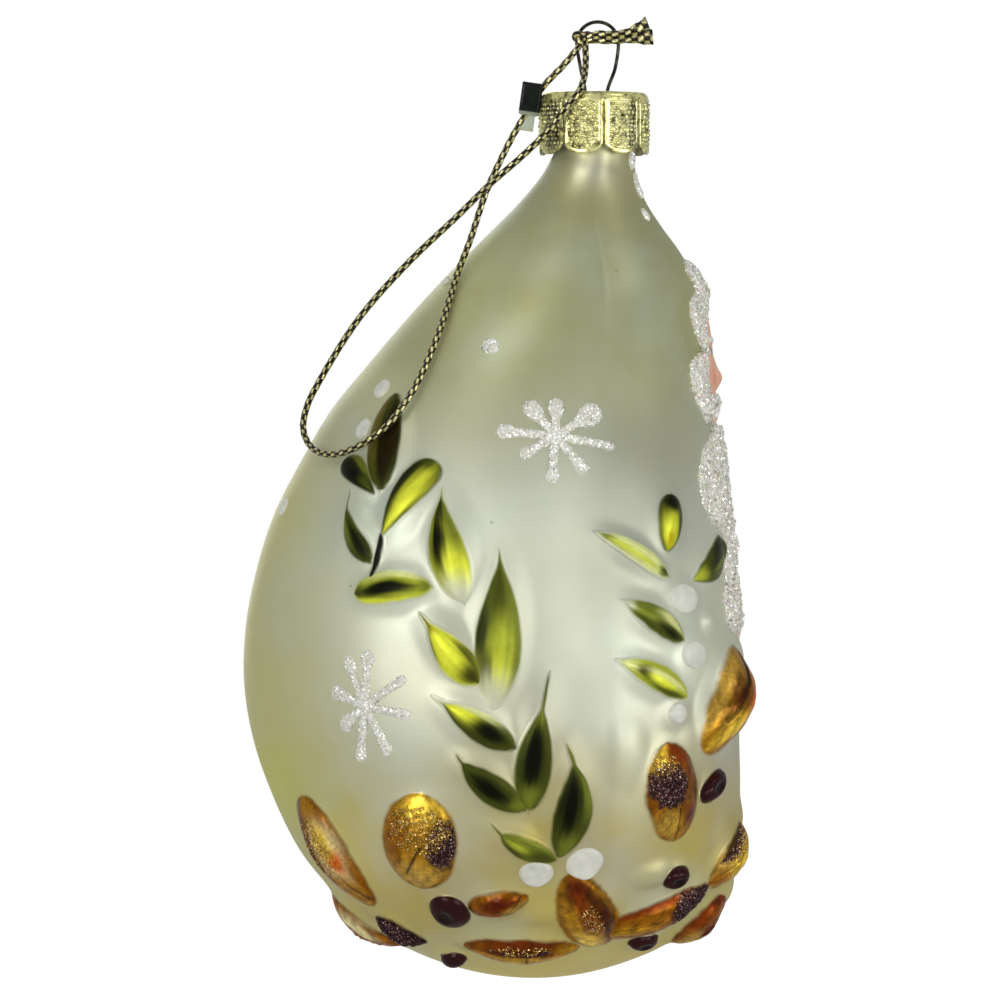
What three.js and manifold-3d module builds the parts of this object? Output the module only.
// A hollow blown-glass Father Christmas ornament, seen from its right side and back:
// a leaning teardrop body with laid-on leaves, nuts, berries and glitter, a stamped
// crown cap, a wire hanger and a braided cord loop.
// Millimetres, +Z up. X = 0, Y = 0 is the axis of the neck, and Z = 0 is the inside
// top of the wire loop. The viewer is on the -Y side and the figure faces +X.
import * as THREE from 'three';
import Module from 'manifold-3d';

const wasm = await Module();
wasm.setup();

// Clearance between pieces that touch on the real object.
const clearance = 0.3;

// The blown glass.
const glassWall = 1.1;
const bodyTop = -19.6;
const bodyHeight = 123.5;
const bodyWidth = 74.4;
const neckRadius = 6.1;
const lipRadius = 7.4;
const lipHeight = 2.2;
const bodyLean = 1.0;
const bodyDepth = 31.8;

// The crown cap.
const capTop = -10.35;
const capHeight = 9.3;
const capSheet = 0.35;
const capFit = 0.4;
const capShoulder = 1.5;
const petalCount = 8;
const petalGap = 0.55;
const petalTurn = 9.8;
const petalRound = 2.6;
const petalSlot = 6.6;

// The spring wire of the hanger.
const wireRadius = 0.225;
const wireLoopRadius = 2.85;
const wireLoopX = 0.53;
const wireHoleLeft = -1.35;
const wireHoleRight = 1.95;
const wireHoleFit = 0.35;
const wireLegDrop = 13;

// The braided cord, its knot and its cut ends.
const cordRadius = 0.5;
const cordSides = 8;
const cordStep = 2.2;
const knotWidth = 3.4;
const knotDepth = 3.0;
const knotHeight = 2.5;
const knotX = -1.7;
const knotZ = -2.2;

// The folded tag on the cord.
const tagFilm = 0.25;
const tagWidth = 3.3;
const tagHeight = 4.5;
const tagTilt = 8;
const tagTab = 2.4;
const tagPlace = [-11.65, -2.1, -13.9];

// Heights of what is laid on the glass, and the thickness of a laid-on edge.
const edgeThickness = 0.25;
const leafHeight = 0.8;
const nutHeight = 2.0;
const berryHeight = 1.7;
const dotHeight = 0.55;
const snowHeight = 0.5;
const snowArmWidth = 0.95;
const snowSpan = 12;
const trimHeight = 0.9;
const trimWidth = 3.6;
const faceHeight = 0.8;
const noseHeight = 1.5;
const beardHeight = 1.3;
const moustacheHeight = 1.7;

// The figure's front, on the +X side: turn 90 is its middle. Levels are in percent of the
// body's height from the neck down.
const frontTurn = 90;
const faceLevels = [33.2, 18.8];
const faceWidth = 13;
const noseLevels = [28.6, 24.2];
const noseWidth = 3.4;
const moustacheLevel = 32.2;
const moustacheWidth = 12.5;
const moustacheLobe = 2.4;
const moustacheDroop = 1.6;
const beardLevels = [60, 31];
const beardWidth = 21.5;
const beardLocks = 12;
const beardWave = 0.03;
const trimTopLevel = 14.6;
const trimFootLevel = 31;
const trimHalfTurn = 21.5;
const trimCurlRate = 60;
const trimCurlDepth = 0.08;

const rad = THREE.MathUtils.degToRad;
const vec = (x, y, z) => new THREE.Vector3(x, y, z);
const lerp = THREE.MathUtils.lerp;

// Sections of the body as drawn: level in percent from the neck down, then the left edge,
// the right edge and the half depth in millimetres. The sizes above stretch what is drawn.
const drawnWidth = 74.4;
const drawnDepth = 31.8;
const drawnNeck = 6.1;
const lowestLevel = 100;
const bodySections = [
  [0, -6.1, 6.1, 6.1],
  [2.5, -7.8, 6.3, 7.0],
  [5.5, -10.8, 7.6, 9.2],
  [8.5, -14.4, 9.9, 12.0],
  [12, -18.8, 13.0, 15.2],
  [16, -23.6, 15.7, 18.3],
  [20, -28.1, 16.5, 21.0],
  [25.5, -33.9, 17.0, 24.0],
  [31, -39.4, 17.6, 26.4],
  [37, -43.8, 18.6, 28.4],
  [43.5, -47.9, 19.4, 30.0],
  [50, -50.5, 20.2, 31.0],
  [57, -52.2, 21.1, 31.6],
  [64, -52.5, 21.6, 31.8],
  [71, -51.1, 21.8, 31.2],
  [78, -48.1, 21.9, 29.6],
  [84.5, -44.1, 21.2, 26.6],
  [89.5, -39.1, 19.0, 22.3],
  [93, -34.9, 15.7, 18.0],
  [96, -28.9, 10.6, 13.3],
  [98, -23.2, 4.9, 9.3],
  [100, -9, -9, 0],
];

const materials = {
  glass: new THREE.MeshStandardMaterial({ color: 0xc8cdb9, roughness: 0.4, metalness: 0.5 }),
  capGold: new THREE.MeshStandardMaterial({ color: 0xd8c060, roughness: 0.3, metalness: 1 }),
  wire: new THREE.MeshStandardMaterial({ color: 0x4a4a48, roughness: 0.35, metalness: 1 }),
  cord: new THREE.MeshStandardMaterial({ color: 0x8a7c2c, roughness: 0.4, metalness: 0.7 }),
  film: new THREE.MeshStandardMaterial({ color: 0x10140f, roughness: 0.3, metalness: 0.2 }),
  leaf: new THREE.MeshStandardMaterial({ color: 0x7a8028, roughness: 0.35, metalness: 0.2 }),
  nut: new THREE.MeshStandardMaterial({ color: 0xb4702a, roughness: 0.3, metalness: 0.2 }),
  berry: new THREE.MeshStandardMaterial({ color: 0x40161a, roughness: 0.25, metalness: 0.1 }),
  enamel: new THREE.MeshStandardMaterial({ color: 0xe9e8e0, roughness: 0.35, metalness: 0 }),
  glitter: new THREE.MeshStandardMaterial({ color: 0xf2f0f2, roughness: 0.6, metalness: 0.1 }),
  skin: new THREE.MeshStandardMaterial({ color: 0xdcae92, roughness: 0.4, metalness: 0 }),
};

// Turns rings of points into one closed mesh, with a point to close each end.
function meshFromRings(rings, startPoint, endPoint) {
  const count = rings[0].length;
  const positions = [];
  const faces = [];
  for (const ring of rings) {
    for (const point of ring) {
      positions.push(point.x, point.y, point.z);
    }
  }
  for (let row = 0; row + 1 < rings.length; row += 1) {
    for (let i = 0; i < count; i += 1) {
      const next = (i + 1) % count;
      const a = row * count + i;
      const b = row * count + next;
      const c = (row + 1) * count + next;
      const d = (row + 1) * count + i;
      faces.push(a, b, c, a, c, d);
    }
  }
  const startIndex = positions.length / 3;
  positions.push(startPoint.x, startPoint.y, startPoint.z);
  const endIndex = startIndex + 1;
  positions.push(endPoint.x, endPoint.y, endPoint.z);
  const lastRow = (rings.length - 1) * count;
  for (let i = 0; i < count; i += 1) {
    const next = (i + 1) % count;
    faces.push(startIndex, next, i);
    faces.push(endIndex, lastRow + i, lastRow + next);
  }
  return outwards(positions, faces);
}

// Makes a geometry whose faces point out, whichever way its rings ran.
function outwards(positions, faces) {
  let volume = 0;
  const a = vec(0, 0, 0);
  const b = vec(0, 0, 0);
  const c = vec(0, 0, 0);
  for (let i = 0; i < faces.length; i += 3) {
    a.fromArray(positions, faces[i] * 3);
    b.fromArray(positions, faces[i + 1] * 3);
    c.fromArray(positions, faces[i + 2] * 3);
    volume += a.dot(b.cross(c)) / 6;
  }
  const index = volume > 0 ? faces : faces.slice().reverse();
  const geometry = new THREE.BufferGeometry();
  geometry.setAttribute('position', new THREE.Float32BufferAttribute(positions, 3));
  geometry.setIndex(index);
  return geometry;
}

// A solid for joining and cutting, from a closed geometry.
function solidFrom(geometry) {
  const source = geometry.index ? geometry : weld(geometry);
  const welded = source.attributes.normal ? weld(source) : source;
  const vertProperties = Float32Array.from(welded.attributes.position.array);
  const triVerts = Uint32Array.from(welded.index.array);
  return new wasm.Manifold(new wasm.Mesh({ numProp: 3, vertProperties, triVerts }));
}

// Merges the vertices that share a place.
function weld(geometry) {
  const places = new Map();
  const positions = [];
  const faces = [];
  const source = geometry.attributes.position;
  const inTurn = () => [...Array(source.count).keys()];
  const order = geometry.index ? Array.from(geometry.index.array) : inTurn();
  const placeOf = (i) => {
    const place = [source.getX(i), source.getY(i), source.getZ(i)];
    const key = place.map((v) => Math.round(v * 1e4)).join();
    if (!places.has(key)) {
      places.set(key, positions.length / 3);
      positions.push(source.getX(i), source.getY(i), source.getZ(i));
    }
    return places.get(key);
  };
  for (let i = 0; i < order.length; i += 3) {
    const [a, b, c] = [placeOf(order[i]), placeOf(order[i + 1]), placeOf(order[i + 2])];
    if (a !== b && b !== c && c !== a) {
      faces.push(a, b, c);
    }
  }
  return outwards(positions, faces);
}

// The geometry of a joined or cut solid.
function geometryFrom(solid) {
  const mesh = solid.getMesh();
  const positions = [];
  for (let i = 0; i < mesh.vertProperties.length; i += mesh.numProp) {
    positions.push(...mesh.vertProperties.slice(i, i + 3));
  }
  return outwards(positions, Array.from(mesh.triVerts));
}

// One edge of the body at a level, by a smooth curve through the sections. The curve runs
// over the square root of what is left below, so that the foot closes round.
function sectionValue(column, level) {
  const reach = (row) => Math.sqrt(Math.max(0, lowestLevel - bodySections[row][0]));
  const here = Math.sqrt(Math.max(0, lowestLevel - level));
  let row = 0;
  while (row < bodySections.length - 2 && reach(row + 1) > here) {
    row += 1;
  }
  const slope = (i) => {
    const before = Math.max(0, i - 1);
    const after = Math.min(bodySections.length - 1, i + 1);
    const change = bodySections[after][column] - bodySections[before][column];
    return change / (reach(after) - reach(before));
  };
  const span = reach(row + 1) - reach(row);
  const t = (here - reach(row)) / span;
  const start = bodySections[row][column];
  const end = bodySections[row + 1][column];
  const h1 = 2 * t ** 3 - 3 * t ** 2 + 1;
  const h2 = t ** 3 - 2 * t ** 2 + t;
  const h3 = -2 * t ** 3 + 3 * t ** 2;
  const h4 = t ** 3 - t ** 2;
  return start * h1 + slope(row) * span * h2 + end * h3 + slope(row + 1) * span * h4;
}

// The body's level section: its height, centre, half width and half depth.
function bodySection(level) {
  const stretch = bodyWidth / drawnWidth;
  const left = sectionValue(1, level) * stretch;
  const right = sectionValue(2, level) * stretch;
  const fullDepth = sectionValue(3, level) * (bodyDepth / drawnDepth);
  const neckShare = Math.max(0, 1 - level / 6);
  return {
    z: bodyTop - (bodyHeight * level) / lowestLevel,
    centre: (bodyLean * (left + right)) / 2,
    halfWidth: (right - left) / 2 + (neckRadius - drawnNeck * stretch) * neckShare,
    halfDepth: fullDepth + (neckRadius - fullDepth) * neckShare ** 4,
  };
}

// How far a point is inside (below zero) or outside (above zero) the body.
function bodyField(point) {
  const share = (bodyTop - point.z) / bodyHeight;
  const level = THREE.MathUtils.clamp(share * lowestLevel, 0, lowestLevel - 0.05);
  const section = bodySection(level);
  const across = (point.x - section.centre) / section.halfWidth;
  const deep = point.y / section.halfDepth;
  const past = Math.max(0, bodyTop - bodyHeight - point.z);
  return across * across + deep * deep - 1 + past;
}

// The direction that points straight out of the body at a point.
function bodyNormal(point) {
  const step = 0.05;
  const along = (x, y, z) => {
    const ahead = point.clone().add(vec(x, y, z).multiplyScalar(step));
    const behind = point.clone().sub(vec(x, y, z).multiplyScalar(step));
    return bodyField(ahead) - bodyField(behind);
  };
  return vec(along(1, 0, 0), along(0, 1, 0), along(0, 0, 1)).normalize();
}

// The point of the body's surface at a turn and a level. Turn 0 faces the viewer, 90 is
// the figure's front, 180 its far side and -90 its back.
function bodyPoint([turn, level]) {
  const section = bodySection(level);
  const x = section.centre + section.halfWidth * Math.sin(rad(turn));
  return vec(x, -section.halfDepth * Math.cos(rad(turn)), section.z);
}

// Drops a point to the body's surface along a direction, and lifts it off again.
function dropToBody(point, direction, lift) {
  let low = -10;
  let high = 12;
  for (let i = 0; i < 28; i += 1) {
    const middle = (low + high) / 2;
    if (bodyField(point.clone().addScaledVector(direction, middle)) > 0) {
      high = middle;
    } else {
      low = middle;
    }
  }
  const seat = point.clone().addScaledVector(direction, high);
  return seat.addScaledVector(bodyNormal(seat), lift);
}

// A place on the body with a direction along the surface: what is laid on goes by it.
function placeOnBody(from, to) {
  const start = bodyPoint(from);
  const end = bodyPoint(to);
  const middle = start.clone().add(end).multiplyScalar(0.5);
  const radial = bodyNormal(bodyPoint([(from[0] + to[0]) / 2, (from[1] + to[1]) / 2]));
  const origin = dropToBody(middle, radial, 0);
  const out = bodyNormal(origin);
  const along = end.clone().sub(start);
  along.addScaledVector(out, -along.dot(out)).normalize();
  return { origin, out, along, across: out.clone().cross(along), length: start.distanceTo(end) };
}

// Where a flat drawing's point (u along, v across) lies above the surface at a place.
function layOnBody(place, u, v, lift) {
  const flat = place.origin.clone().addScaledVector(place.along, u).addScaledVector(place.across, v);
  return dropToBody(flat, place.out, lift);
}

// A domed patch on the body. The outline is a function of the turn round the patch, and
// grow widens and thickens the patch into the room that its neighbours leave it.
function patch(place, outline, steps, height, rings, grow) {
  const undersides = [0.5, 1];
  const under = grow ? -1 : clearance;
  const edge = grow ? height + 2 : clearance + edgeThickness;
  const rise = grow ? 0 : height - edgeThickness;
  const ringAt = (share, lift) => {
    const ring = [];
    for (let i = 0; i < steps; i += 1) {
      const [u, v] = outline((i / steps) * Math.PI * 2, share);
      const reach = Math.hypot(u, v) || 1;
      const wider = grow ? (clearance * share) / reach : 0;
      ring.push(layOnBody(place, u * (1 + wider), v * (1 + wider), lift));
    }
    return ring;
  };
  const layers = undersides.map((share) => ringAt(share, under));
  for (let i = 0; i <= rings; i += 1) {
    const share = 1 - i / (rings + 1);
    layers.push(ringAt(share, edge + rise * Math.sqrt(1 - share * share)));
  }
  const [u, v] = outline(0, 0);
  return meshFromRings(layers, layOnBody(place, u, v, under), layOnBody(place, u, v, edge + rise));
}

// Pointed and bowed outline of a leaf: from its base (u below zero) to its tip.
function leafOutline(length, width, bow, baseFullness) {
  return (turn, share) => {
    const s = share * Math.cos(turn);
    const point = s > 0 ? 1 - s * s : 1 - baseFullness * s * s;
    const v = 0.5 * width * share * Math.sin(turn) * Math.sqrt(Math.max(0.04, point));
    return [(s * length) / 2, v + bow * (1 - s * s)];
  };
}

// Egg-shaped outline of a nut, berry or dot.
function ovalOutline(length, width, taper = 0) {
  return (turn, share) => {
    const s = share * Math.cos(turn);
    return [(s * length) / 2, 0.5 * width * share * Math.sin(turn) * (1 - taper * s)];
  };
}

// Outline of a painted snowflake: an arm of its own length at each angle, with a round
// club at its end. The list holds the angle in degrees and the length of each arm.
const armPoints = [[0.18, -1], [0.52, -0.62], [0.86, -1], [1, 0], [0.86, 1], [0.52, 0.62]];
function snowOutline(arms) {
  const points = [];
  arms.forEach(([angle, length], i) => {
    const next = arms[(i + 1) % arms.length];
    const gap = ((next[0] - angle + 540) % 360) - 180;
    armPoints.forEach(([along, side]) => {
      const reach = along === armPoints[0][0] ? snowArmWidth * 1.5 : length * along;
      const spread = along === armPoints[0][0] ? 0 : Math.asin((side * snowArmWidth * 0.9) / reach);
      const turn = along === armPoints[0][0] ? rad(angle - gap / 2) : rad(angle) + Math.sign(gap) * spread;
      points.push([Math.sin(turn) * reach, -Math.cos(turn) * reach]);
    });
  });
  return (turn, share) => {
    const i = Math.round((turn / (Math.PI * 2)) * points.length) % points.length;
    return [points[i][0] * share, points[i][1] * share];
  };
}

// What is laid on the body, in the order in which each takes its room.
const laidOn = [];
function layOn(name, material, place, outline, { steps = 12, height, rings = 2 }) {
  let solid = solidFrom(patch(place, outline, steps, height, rings, false));
  const room = solidFrom(patch(place, outline, steps, height, rings, true));
  const reach = place.length;
  for (const other of laidOn) {
    if (other.place.origin.distanceTo(place.origin) < reach + other.place.length + 4) {
      solid = solid.subtract(other.room);
    }
  }
  laidOn.push({ place, room });
  return named(name, geometryFrom(solid), material);
}

function named(name, geometry, material) {
  const mesh = new THREE.Mesh(geometry, material);
  mesh.name = name;
  return mesh;
}

// The glass: the body outside, the rolled lip of the neck, and the wall inside.
function makeGlass() {
  const around = 42;
  const rows = 30;
  const innerRows = 12;
  const ringOf = (centre, halfWidth, halfDepth, z) => {
    const ring = [];
    for (let i = 0; i < around; i += 1) {
      const turn = (i / around) * Math.PI * 2;
      ring.push(vec(centre + halfWidth * Math.cos(turn), halfDepth * Math.sin(turn), z));
    }
    return ring;
  };
  const rings = [];
  for (let i = 1; i < rows; i += 1) {
    const section = bodySection((lowestLevel / 2) * (1 + Math.cos((Math.PI * i) / rows)));
    rings.push(ringOf(section.centre, section.halfWidth, section.halfDepth, section.z));
  }
  const neckBore = neckRadius - glassWall;
  const lipTop = capTop - capSheet - clearance;
  const neckProfile = [
    [neckRadius, bodyTop],
    [neckRadius, lipTop - lipHeight - 0.8],
    [lipRadius, lipTop - lipHeight + 0.4],
    [lipRadius, lipTop - 0.5],
    [lipRadius - 0.5, lipTop],
    [neckBore + 0.5, lipTop],
    [neckBore, lipTop - 0.5],
    [neckBore, bodyTop],
  ];
  for (const [radius, z] of neckProfile) {
    rings.push(ringOf(0, radius, radius, z));
  }
  for (let i = 1; i < innerRows; i += 1) {
    const level = (lowestLevel / 2) * (1 - Math.cos((Math.PI * i) / innerRows));
    const section = bodySection(level);
    const rise = glassWall * (level / lowestLevel) ** 6;
    const [width, depth] = [section.halfWidth - glassWall, section.halfDepth - glassWall];
    rings.push(ringOf(section.centre, width, depth, section.z + rise));
  }
  const foot = bodySection(lowestLevel);
  const outerFoot = vec(foot.centre, 0, foot.z);
  const innerFoot = vec(foot.centre, 0, foot.z + glassWall * 1.3);
  return named('glass_body', meshFromRings(rings, outerFoot, innerFoot), materials.glass);
}

// The stamped cap: a sheet turned into a crown, with slots between its petals and two
// holes for the wire.
function makeCap() {
  const inside = lipRadius + capFit;
  const outside = inside + capSheet;
  const foot = capTop - capHeight;
  const arc = (centreX, centreZ, radius, from, to) => {
    const points = [];
    for (let i = 0; i <= 4; i += 1) {
      const turn = rad(lerp(from, to, i / 4));
      points.push(new THREE.Vector2(centreX + radius * Math.cos(turn), centreZ + radius * Math.sin(turn)));
    }
    return points;
  };
  const shoulderX = outside - capShoulder;
  const shoulderZ = capTop - capShoulder;
  const profile = [
    new THREE.Vector2(0, capTop - capSheet),
    ...arc(shoulderX, shoulderZ, capShoulder - capSheet, 90, 0),
    new THREE.Vector2(inside, foot),
    new THREE.Vector2(outside, foot),
    ...arc(shoulderX, shoulderZ, capShoulder, 0, 90),
    new THREE.Vector2(0, capTop),
  ];
  let cap = solidFrom(turned(profile, 48));
  const pitch = (2 * Math.PI * outside) / petalCount;
  for (let i = 0; i < petalCount; i += 1) {
    const cutter = new THREE.Shape();
    cutter.moveTo(-petalGap / 2, petalSlot);
    cutter.lineTo(-petalGap / 2, petalRound);
    cutter.quadraticCurveTo(-petalGap / 2, petalRound * 0.3, -pitch * 0.3, -0.05);
    cutter.lineTo(-pitch * 0.3, -1);
    cutter.lineTo(pitch * 0.3, -1);
    cutter.lineTo(pitch * 0.3, -0.05);
    cutter.quadraticCurveTo(petalGap / 2, petalRound * 0.3, petalGap / 2, petalRound);
    cutter.lineTo(petalGap / 2, petalSlot);
    const bar = new THREE.ExtrudeGeometry(cutter, { depth: 4, bevelEnabled: false, curveSegments: 3 });
    bar.rotateX(Math.PI / 2);
    bar.translate(0, -inside + 2, foot);
    bar.rotateZ(rad(petalTurn) + (i / petalCount) * Math.PI * 2);
    cap = cap.subtract(solidFrom(bar));
  }
  for (const x of [wireHoleLeft, wireHoleRight]) {
    const drill = new THREE.CylinderGeometry(wireRadius + wireHoleFit, wireRadius + wireHoleFit, 4, 10);
    drill.rotateX(Math.PI / 2);
    drill.translate(x, 0, capTop);
    cap = cap.subtract(solidFrom(drill));
  }
  return named('crown_cap', geometryFrom(cap), materials.capGold);
}

// A solid turned about the neck's axis from a profile that starts and ends on it.
function turned(profile, segments) {
  const lathe = new THREE.LatheGeometry(profile, segments);
  lathe.rotateX(Math.PI / 2);
  return weld(lathe);
}

// A round bar along a smooth curve.
function barAlong(points, radius, sides, steps) {
  const curve = new THREE.CatmullRomCurve3(points, false, 'centripetal');
  const section = new THREE.Shape();
  for (let i = 0; i <= sides; i += 1) {
    const turn = ((i % sides) / sides) * Math.PI * 2;
    const [x, y] = [radius * Math.cos(turn), radius * Math.sin(turn)];
    if (i === 0) {
      section.moveTo(x, y);
    } else {
      section.lineTo(x, y);
    }
  }
  const count = steps || Math.ceil(curve.getLength() / cordStep);
  const settings = { extrudePath: curve, steps: count, bevelEnabled: false };
  return weld(new THREE.ExtrudeGeometry(section, settings));
}

// The hanger's wire: up one leg, round the loop and down the other leg. Its legs spread
// against the bore of the neck below the cap.
function wirePath() {
  const radius = wireLoopRadius + wireRadius;
  const centreZ = -wireLoopRadius;
  const spread = neckRadius - glassWall - clearance - wireRadius;
  const points = [
    vec(-spread, 0, capTop - wireLegDrop),
    vec(-spread + 0.2, 0, capTop - wireLegDrop * 0.75),
    vec(lerp(wireHoleLeft, -spread, 0.35), 0, capTop - wireLegDrop * 0.3),
    vec(wireHoleLeft, 0, capTop - capSheet / 2),
    vec(lerp(wireHoleLeft, wireLoopX - radius, 0.55), 0, lerp(capTop, centreZ, 0.5)),
  ];
  for (let turn = 180; turn >= 0; turn -= 22.5) {
    points.push(vec(wireLoopX + radius * Math.cos(rad(turn)), 0, centreZ + radius * Math.sin(rad(turn))));
  }
  points.push(vec(lerp(wireHoleRight, wireLoopX + radius, 0.72), 0, lerp(capTop, centreZ, 0.5)));
  points.push(vec(wireHoleRight, 0, capTop - capSheet / 2));
  points.push(vec(lerp(wireHoleRight, spread, 0.35), 0, capTop - wireLegDrop * 0.3));
  points.push(vec(spread - 0.2, 0, capTop - wireLegDrop * 0.75));
  points.push(vec(spread, 0, capTop - wireLegDrop));
  return points;
}

function makeWire() {
  return named('wire_hanger', barAlong(wirePath(), wireRadius, 6, 64), materials.wire);
}

// Route of the cord's loop, from the knot down the strand that lies on the glass, round
// the low end, and up the strand that hangs clear of it, back to the knot.
const cordRoute = [
  [-2.6, -1.2, -3.9], [-4.7, -1.7, -6.4], [-7.8, -2.1, -9.7], [-10.5, -2.1, -14.0],
  [-12.4, -2.3, -17.3], [-13.9, -2.6, -20.3], [-16.1, -3.4, -25.1], [-18.5, -5.6, -32.4],
  [-20.5, -9.6, -37.8], [-22.9, -16.8, -45.8], [-25.8, -20.9, -52.9], [-27.9, -22.6, -56.6],
  [-31.1, -23.4, -60.6], [-35.3, -21.1, -63.4], [-39.1, -17.1, -64.5], [-42.0, -12.6, -63.5],
  [-43.4, -8.8, -60.7], [-42.9, -6.6, -57.4], [-41.2, -4.8, -53.8], [-35.3, -4.2, -44.4],
  [-28.0, -4.6, -36.1], [-20.4, -5.2, -28.9], [-15.6, -5.6, -24.2], [-11.3, -6.6, -20.5],
  [-8.6, -7.6, -18.0], [-6.4, -8.2, -15.8], [-4.4, -8.9, -13.0], [-2.6, -8.8, -10.9],
  [-1.7, -6.9, -8.9], [-1.3, -3.6, -6.2], [-1.3, -1.9, -4.0],
];

// The cut ends of the cord, from the knot's right side over the wire loop.
const upperTailRoute = [[0.4, -1.1, -1.5], [2.6, -1.4, -1.5], [5.2, -1.3, -1.2], [7.9, -1.0, 0.1]];
const lowerTailRoute = [[0.4, -1.1, -2.7], [2.6, -1.4, -2.9], [5.4, -1.3, -2.7], [8.7, -1.0, -2.2]];

function makeCord() {
  const points = cordRoute.map(([x, y, z]) => vec(x, y, z));
  return named('hanging_cord', barAlong(points, cordRadius, cordSides), materials.cord);
}

function makeTail(name, route) {
  const points = route.map(([x, y, z]) => vec(x, y, z));
  return named(name, barAlong(points, cordRadius, cordSides), materials.cord);
}

// The knot, with the hole that the wire passes through.
function makeKnot() {
  const ball = new THREE.SphereGeometry(1, 16, 10);
  ball.scale(knotWidth / 2, knotDepth / 2, knotHeight / 2);
  ball.translate(knotX, 0, knotZ);
  const hole = barAlong(wirePath(), wireRadius + clearance, 8, 64);
  return named('cord_knot', geometryFrom(solidFrom(ball).subtract(solidFrom(hole))), materials.cord);
}

// The film tag, folded round the cord, with a tab that hangs below its back leaf.
function makeTag() {
  const gap = cordRadius + clearance;
  const fold = new THREE.Shape();
  fold.moveTo(0, -gap - tagFilm);
  fold.lineTo(tagWidth, -gap - tagFilm);
  fold.lineTo(tagWidth, -gap);
  fold.lineTo(tagFilm, -gap);
  fold.lineTo(tagFilm, gap);
  fold.lineTo(tagWidth - 0.8, gap);
  fold.lineTo(tagWidth - 0.8, gap + tagFilm);
  fold.lineTo(0, gap + tagFilm);
  const leaves = new THREE.ExtrudeGeometry(fold, { depth: tagHeight, bevelEnabled: false });
  const tab = new THREE.BoxGeometry(tagWidth - 1.4, tagFilm, tagTab * 2);
  tab.translate(tagWidth / 2 - 0.1, gap + tagFilm / 2, 0);
  const tag = geometryFrom(solidFrom(leaves).add(solidFrom(tab)));
  const mesh = named('cord_tag', tag, materials.film);
  mesh.position.set(...tagPlace);
  mesh.rotation.y = rad(tagTilt);
  return mesh;
}

// The leaves of the two sprigs: base, tip, width, bow.
const leaves = [
  ['leaf_back_1', [-33, 39.6], [-44.5, 29.1], 4.4, 0.3],
  ['leaf_back_2', [-34.5, 41.2], [-51, 37.1], 2.6, -0.4],
  ['leaf_back_3', [-29, 46.2], [-20, 37.2], 4.3, 0.6],
  ['leaf_back_4', [-30.5, 49.2], [-43.5, 41], 2.8, 1.1],
  ['leaf_back_5', [-14, 52], [-33.5, 52.8], 3.4, -0.5],
  ['leaf_back_6', [-8.5, 54.2], [-16.5, 40.7], 5.4, -0.8],
  ['leaf_back_7', [1.5, 66.2], [1.5, 47.6], 7.0, -0.6],
  ['leaf_back_8', [-2.5, 63.3], [-16.5, 55.2], 5.0, 0.5],
  ['leaf_back_9', [4.5, 71], [-13, 64.8], 5.0, 0.5],
  ['leaf_back_10', [5, 78.6], [13.5, 62.4], 4.8, 0.7],
  ['leaf_back_11', [4.5, 78.4], [-10, 72.3], 4.3, 0.4],
  ['leaf_back_12', [10.5, 84.2], [19, 70.6], 5.6, -1.2],
  ['leaf_back_13', [10, 84.4], [-5, 80.5], 3.3, 0.2],
  ['leaf_side_1', [46.5, 47.8], [49, 41.2], 3.8, 0],
  ['leaf_side_2', [46, 50.8], [25.5, 45.6], 2.6, -0.4],
  ['leaf_side_3', [55.5, 51.1], [77, 47], 3.4, -0.3],
  ['leaf_side_4', [49, 58.2], [32.5, 53.9], 4.0, -0.2],
  ['leaf_side_5', [50, 65.1], [30.5, 60.8], 4.3, -0.3],
];

// The nuts and seeds round the foot: one end, the other end, width, taper.
const nuts = [
  ['nut_1', [-58.5, 77.6], [-56, 90.4], 7.2, 0.1],
  ['nut_2', [-20, 76.5], [-30, 88], 11.6, 0.05],
  ['nut_3', [-88, 89.5], [-70, 95.6], 6.4, 0],
  ['nut_4', [-59, 92.6], [-46, 95.6], 4.6, 0],
  ['nut_5', [-17, 90.2], [-1, 88.8], 4.0, 0.15],
  ['nut_6', [-27, 95.9], [19, 96.1], 6.0, 0],
  ['nut_7', [10, 86.3], [25, 95], 7.2, -0.1],
  ['nut_8', [31, 92], [59, 88.7], 6.0, 0.1],
  ['nut_9', [78, 95], [80, 89.8], 6.4, 0],
  ['nut_10', [66, 87.4], [86, 80.6], 6.4, 0],
  ['nut_11', [43, 69.8], [44, 82.4], 9.6, 0],
  ['nut_12', [82, 60.2], [58, 71.6], 7.6, 0.1],
  ['nut_far_1', [120, 77], [128, 89], 8.0, 0.1],
  ['nut_far_2', [150, 90], [172, 92], 6.2, 0],
  ['nut_far_3', [196, 80], [204, 90.5], 8.6, 0.1],
  ['nut_far_4', [232, 90], [252, 86], 6.4, 0],
];

// The berries and the enamel dots: place, length, width.
const berries = [
  ['berry_1', [-24.5, 91.1], 5.4, 4.8],
  ['berry_2', [-54, 97.4], 4.2, 3.2],
  ['berry_3', [47.5, 86], 4.0, 4.0],
  ['berry_4', [50.5, 95], 4.8, 3.8],
  ['berry_5', [61, 76], 4.6, 4.6],
];
const dots = [
  ['dot_1', [50.5, 53.8], 4.6, 5.0],
  ['dot_2', [53, 60.2], 3.9, 4.4],
  ['dot_3', [46.5, 67.2], 2.8, 3.0],
  ['dot_4', [2, 86], 4.8, 5.2],
  ['dot_5', [19, 84.9], 4.8, 5.6],
];
const snowflakes = [
  ['snowflake_1', [11, 34.2],
    [[175, 7.5], [130, 5.6], [88, 5.1], [34, 7.1], [-6, 9.0], [-47, 6.6], [-94, 6.6], [-149, 4.7]]],
  ['snowflake_2', [-30.5, 66.1],
    [[162, 5.0], [114, 7.2], [88, 7.7], [35, 7.0], [-9, 6.5], [-62, 7.6], [-97, 7.9], [-138, 4.7]]],
];

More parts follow.
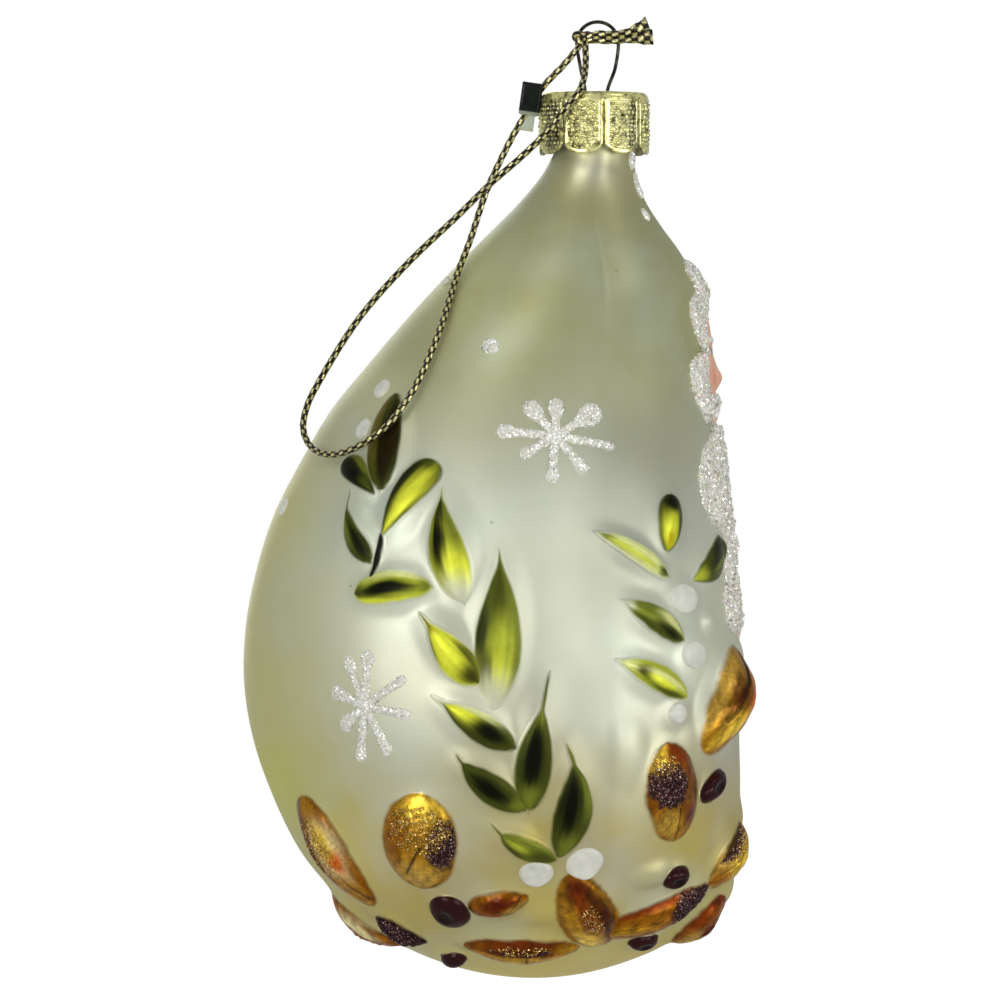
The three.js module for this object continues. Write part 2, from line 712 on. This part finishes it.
// A short upright stretch of the body's surface, for what has no direction of its own.
function uprightPlace([turn, level], length) {
  const half = ((length / 2) / bodyHeight) * lowestLevel;
  return placeOnBody([turn, level + half], [turn, level - half]);
}

function makeDecoration() {
  const made = [];
  for (const [name, at, length, width] of dots) {
    const place = uprightPlace(at, length);
    made.push(layOn(name, materials.enamel, place, ovalOutline(length, width), { height: dotHeight }));
  }
  for (const [name, at, length, width] of berries) {
    const place = uprightPlace(at, length);
    made.push(layOn(name, materials.berry, place, ovalOutline(length, width), { height: berryHeight }));
  }
  for (const [name, from, to, width, bow] of leaves) {
    const place = placeOnBody(from, to);
    const outline = leafOutline(place.length, width, bow, 0.75);
    made.push(layOn(name, materials.leaf, place, outline, { steps: 14, height: leafHeight, rings: 1 }));
  }
  for (const [name, from, to, width, taper] of nuts) {
    const place = placeOnBody(from, to);
    const outline = ovalOutline(place.length, width, taper);
    made.push(layOn(name, materials.nut, place, outline, { steps: 16, height: nutHeight }));
  }
  for (const [name, at, arms] of snowflakes) {
    const place = uprightPlace(at, snowSpan);
    const shape = { steps: arms.length * armPoints.length, height: snowHeight, rings: 1 };
    made.push(layOn(name, materials.glitter, place, snowOutline(arms), shape));
  }
  return made;
}

// A wavy outline: the beard's locks.
function beardOutline(length, width, locks, wave) {
  return (turn, share) => {
    const ripple = 1 + wave * Math.cos(turn * locks) * share;
    const s = share * Math.cos(turn) * ripple;
    const across = share * Math.sin(turn) * ripple * (1 + 0.4 * s);
    return [(s * length) / 2, (across * width) / 2];
  };
}

// The moustache's outline: two lobes that droop from the middle.
function moustacheOutline(width, lobe) {
  return (turn, share) => {
    const v = (share * Math.cos(turn) * width) / 2;
    const side = Math.abs(v) / (width / 2);
    const thick = lobe * (0.55 + 0.9 * side - 1.35 * side * side);
    return [share * Math.sin(turn) * thick - moustacheDroop * side * side, v];
  };
}

// The fur edge of the hood: a band laid in an arch over the face.
function makeHoodTrim() {
  const sections = [];
  const count = 18;
  const profile = [[-1, 0], [-0.9, 0.5], [-0.4, 0.95], [0.4, 0.95], [0.9, 0.5], [1, 0]];
  const path = (share) => {
    const spread = Math.cos(Math.PI * share) * trimSpread(share);
    const turn = frontTurn + trimHalfTurn * spread;
    const level = lerp(trimFootLevel, trimTopLevel, Math.sin(Math.PI * share) ** 0.6);
    return bodyPoint([turn, level]);
  };
  for (let i = 0; i <= count; i += 1) {
    const share = i / count;
    const here = path(share);
    const ahead = path(Math.min(1, share + 0.01)).sub(path(Math.max(0, share - 0.01))).normalize();
    const out = bodyNormal(here);
    const side = out.clone().cross(ahead).normalize();
    const width = trimWidth * (1 + trimCurlDepth * Math.cos(share * trimCurlRate));
    const ring = profile.map(([across, up]) => {
      const point = here.clone().addScaledVector(side, (across * width) / 2);
      return dropToBody(point, out, clearance + up * trimHeight);
    });
    sections.push(ring);
  }
  const middleOf = (ring) => ring.reduce((sum, p) => sum.add(p), vec(0, 0, 0)).divideScalar(ring.length);
  return meshFromRings(sections, middleOf(sections[0]), middleOf(sections[count]));
}

// The arch keeps its width down its sides, and draws in only at its top.
function trimSpread(share) {
  return 1 + 0.12 * Math.sin(Math.PI * share);
}

function makeFront() {
  const made = [];
  const nosePlace = placeOnBody([frontTurn, noseLevels[0]], [frontTurn, noseLevels[1]]);
  const noseOutline = ovalOutline(nosePlace.length, noseWidth, 0.3);
  made.push(layOn('nose', materials.skin, nosePlace, noseOutline, { height: noseHeight }));
  const lipPlace = uprightPlace([frontTurn, moustacheLevel], moustacheWidth * 0.64);
  const lips = moustacheOutline(moustacheWidth, moustacheLobe);
  made.push(layOn('moustache', materials.glitter, lipPlace, lips, { steps: 24, height: moustacheHeight }));
  const facePlace = placeOnBody([frontTurn, faceLevels[0]], [frontTurn, faceLevels[1]]);
  const faceOutline = ovalOutline(facePlace.length, faceWidth);
  made.push(layOn('face', materials.skin, facePlace, faceOutline, { steps: 24, height: faceHeight }));
  const beardPlace = placeOnBody([frontTurn, beardLevels[0]], [frontTurn, beardLevels[1]]);
  const beard = beardOutline(beardPlace.length, beardWidth, beardLocks, beardWave);
  const shape = { steps: 36, height: beardHeight, rings: 3 };
  made.push(layOn('beard', materials.glitter, beardPlace, beard, shape));
  let trim = solidFrom(makeHoodTrim());
  for (const other of laidOn) {
    trim = trim.subtract(other.room);
  }
  made.push(named('hood_trim', geometryFrom(trim), materials.glitter));
  return made;
}

// The pieces by what they move with: the glass, the cap with its wire, and the cord.
const ornament = new THREE.Group();
const glassGroup = new THREE.Group();
glassGroup.add(makeGlass(), ...makeDecoration(), ...makeFront());
const capGroup = new THREE.Group();
capGroup.add(makeCap(), makeWire());
const cordGroup = new THREE.Group();
cordGroup.add(makeCord(), makeKnot(), makeTag());
cordGroup.add(makeTail('cord_tail_upper', upperTailRoute), makeTail('cord_tail_lower', lowerTailRoute));
ornament.add(glassGroup, capGroup, cordGroup);

export default ornament;
